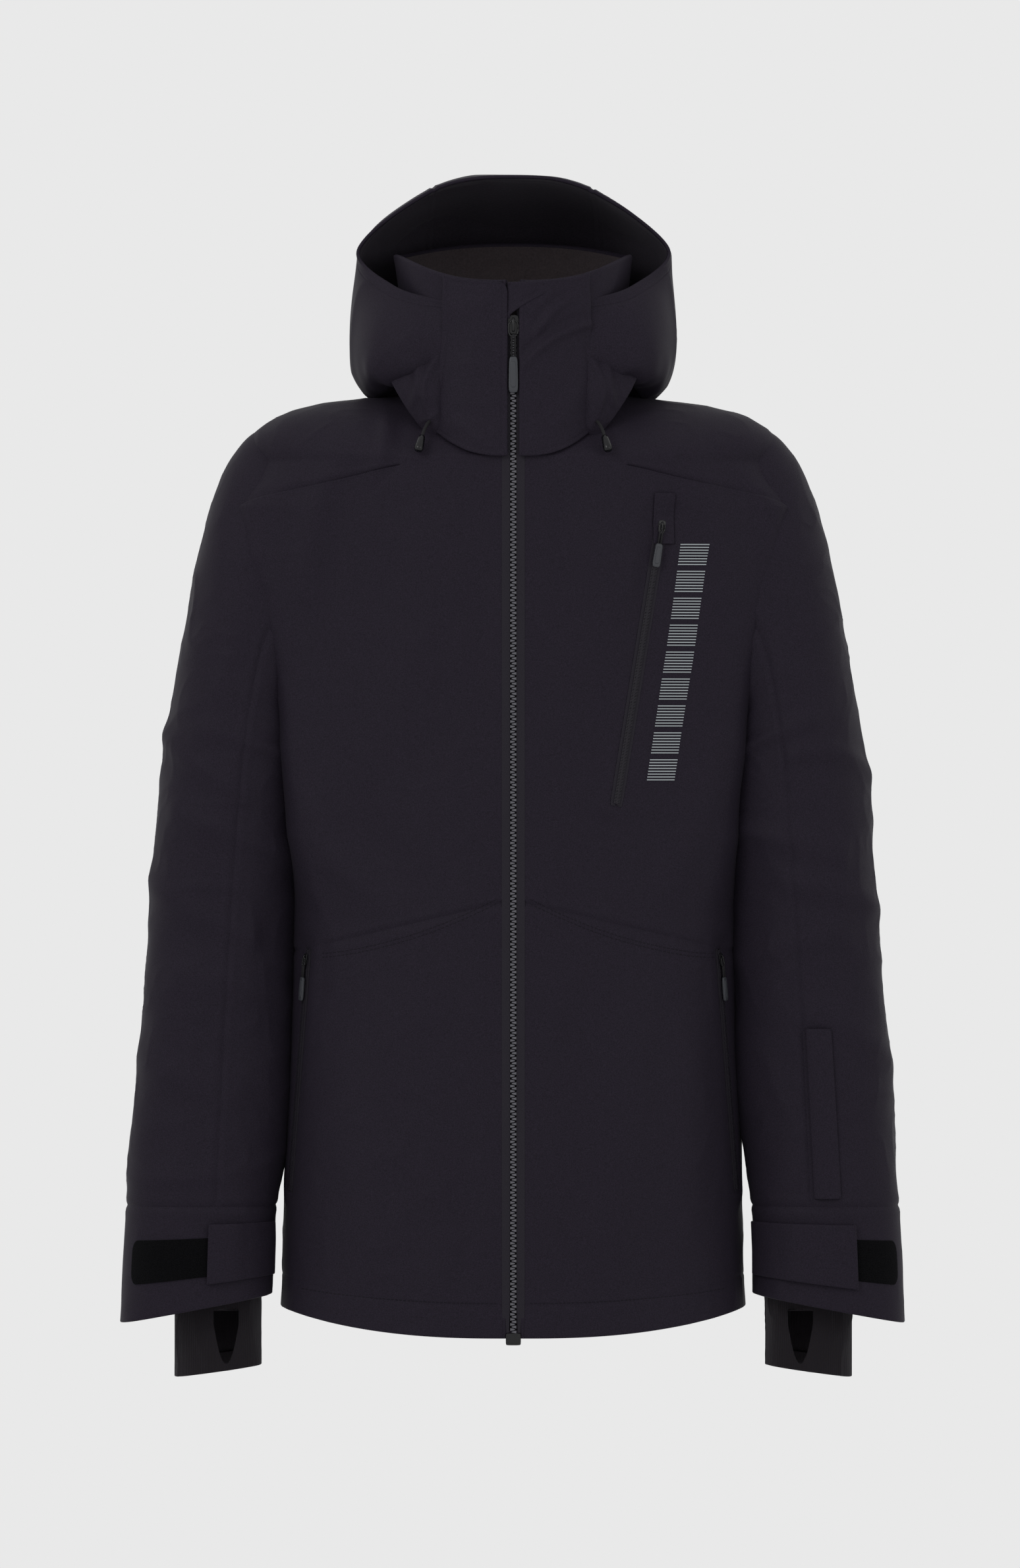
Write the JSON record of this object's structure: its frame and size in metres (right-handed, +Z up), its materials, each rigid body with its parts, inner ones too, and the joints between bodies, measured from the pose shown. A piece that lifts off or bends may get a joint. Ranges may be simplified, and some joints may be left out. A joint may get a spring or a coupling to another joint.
{
  "type": "ski jacket",
  "caption": "Hooded insulated ski jacket with full front zip, zipped chest, hand and sleeve pockets, cuff tabs and knitted inner cuffs with thumb holes.",
  "frame": {"origin": "middle of the neck opening, level with the neck side points, where the wearer holds the jacket up", "axes": "+Z up, -Y out of the front, +X to the wearer's left"},
  "size_m": [0.658, 0.2601, 1.005],
  "materials": {
    "shell_fabric": "matte near-black woven shell",
    "lining_fabric": "brushed tricot",
    "loop_pile": "hook-and-loop pile",
    "cuff_knit": "stretch knit",
    "zip_tape": "woven tape with moulded teeth",
    "black_metal": "gloss black",
    "pull_rubber": "satin grey moulded",
    "cord_braid": "braided",
    "cord_end_plastic": "gloss black"
  },
  "bodies": {
    "root": {"front_lower_left": "shell_fabric", "front_upper_left": "shell_fabric", "front_yoke_left": "shell_fabric", "front_lower_right": "shell_fabric", "front_upper_right": "shell_fabric", "front_yoke_right": "shell_fabric", "back_panel": "shell_fabric", "back_yoke": "shell_fabric", "body_lining": "lining_fabric", "snow_skirt": "lining_fabric", "chest_pocket_bag": "lining_fabric", "hand_pocket_bag_left": "lining_fabric", "hand_pocket_bag_right": "lining_fabric", "sleeve_outer_left": "shell_fabric", "sleeve_under_left": "shell_fabric", "sleeve_lining_left": "lining_fabric", "cuff_left": "shell_fabric", "cuff_loop_patch_left": "loop_pile", "inner_cuff_left": "cuff_knit", "sleeve_outer_right": "shell_fabric", "sleeve_under_right": "shell_fabric", "sleeve_lining_right": "lining_fabric", "cuff_right": "shell_fabric", "cuff_loop_patch_right": "loop_pile", "inner_cuff_right": "cuff_knit", "collar_outer_left": "shell_fabric", "collar_front_left": "shell_fabric", "collar_outer_right": "shell_fabric", "collar_front_right": "shell_fabric", "collar_lining": "lining_fabric", "hanger_loop": "lining_fabric", "hood_base_left": "shell_fabric", "hood_base_right": "shell_fabric", "main_zip_left": "zip_tape", "main_zip_right": "zip_tape", "main_zip_box": "black_metal", "chest_pocket_zip_tape": "zip_tape", "hand_pocket_left_zip_tape": "zip_tape", "hand_pocket_right_zip_tape": "zip_tape", "chest_zip_garage": "shell_fabric", "sleeve_pocket_zip_tape": "zip_tape", "hood_cord_left": "cord_braid", "hood_cord_end_left": "cord_end_plastic", "hood_cord_right": "cord_braid", "hood_cord_end_right": "cord_end_plastic"},
    "main_slider": {"main_slider": "black_metal"},
    "main_pull": {"main_pull_bail": "black_metal", "main_pull_grip": "pull_rubber"},
    "chest_slider": {"chest_pocket_slider": "black_metal"},
    "chest_pull": {"chest_pocket_pull": "pull_rubber"},
    "hand_slider_left": {"hand_pocket_left_slider": "black_metal"},
    "hand_pull_left": {"hand_pocket_left_pull": "pull_rubber"},
    "hand_slider_right": {"hand_pocket_right_slider": "black_metal"},
    "hand_pull_right": {"hand_pocket_right_pull": "pull_rubber"},
    "sleeve_slider": {"sleeve_pocket_slider": "black_metal"},
    "cuff_tab_left": {"cuff_tab_left": "shell_fabric"},
    "cuff_tab_right": {"cuff_tab_right": "shell_fabric"},
    "hood": {"hood_crown_centre": "shell_fabric", "hood_crown_left": "shell_fabric", "hood_crown_right": "shell_fabric"}
  },
  "joints": [
    {"name": "main_zip_slide", "type": "slide", "parent": "root", "child": "main_slider", "axis": [0, -0.032, -0.9995], "range_m": [0, 0.8]},
    {"name": "main_pull_swing", "type": "hinge", "parent": "main_slider", "child": "main_pull", "pos_m": [0, -0.10309, 0.05253], "axis": [-1, 0, 0], "range_deg": [0, 150]},
    {"name": "chest_zip_slide", "type": "slide", "parent": "root", "child": "chest_slider", "axis": [-0.1591, -0.0705, -0.9847], "range_m": [0, 0.205]},
    {"name": "chest_pull_swing", "type": "hinge", "parent": "chest_slider", "child": "chest_pull", "pos_m": [0.1241, -0.09112, -0.11575], "axis": [-0.9422, -0.287, 0.1728], "range_deg": [0, 150]},
    {"name": "hand_zip_slide_left", "type": "slide", "parent": "root", "child": "hand_slider_left", "axis": [0.0784, 0.0899, -0.9929], "range_m": [0, 0.165]},
    {"name": "hand_pull_swing_left", "type": "hinge", "parent": "hand_slider_left", "child": "hand_pull_left", "pos_m": [0.1747, -0.05925, -0.47671], "axis": [-0.4233, -0.8987, -0.1148], "range_deg": [0, 150]},
    {"name": "hand_zip_slide_right", "type": "slide", "parent": "root", "child": "hand_slider_right", "axis": [-0.0784, 0.0899, -0.9929], "range_m": [0, 0.165]},
    {"name": "hand_pull_swing_right", "type": "hinge", "parent": "hand_slider_right", "child": "hand_pull_right", "pos_m": [-0.1747, -0.05925, -0.47671], "axis": [-0.4233, 0.8987, 0.1148], "range_deg": [0, 150]},
    {"name": "sleeve_zip_slide", "type": "slide", "parent": "root", "child": "sleeve_slider", "axis": [0.0545, -0.0058, -0.9985], "range_m": [0, 0.1]},
    {"name": "cuff_tab_open_left", "type": "hinge", "parent": "root", "child": "cuff_tab_left", "pos_m": [0.2002, -0.0397, -0.7005], "axis": [0.0132, -0.0158, -0.9998], "range_deg": [0, 60]},
    {"name": "cuff_tab_open_right", "type": "hinge", "parent": "root", "child": "cuff_tab_right", "pos_m": [-0.2002, -0.0397, -0.7005], "axis": [0.0132, 0.0158, 0.9998], "range_deg": [0, 60]},
    {"name": "hood_fold", "type": "hinge", "parent": "root", "child": "hood", "pos_m": [0, 0.1315, 0.032], "axis": [-1, 0, 0], "range_deg": [0, 100]}
  ]
}
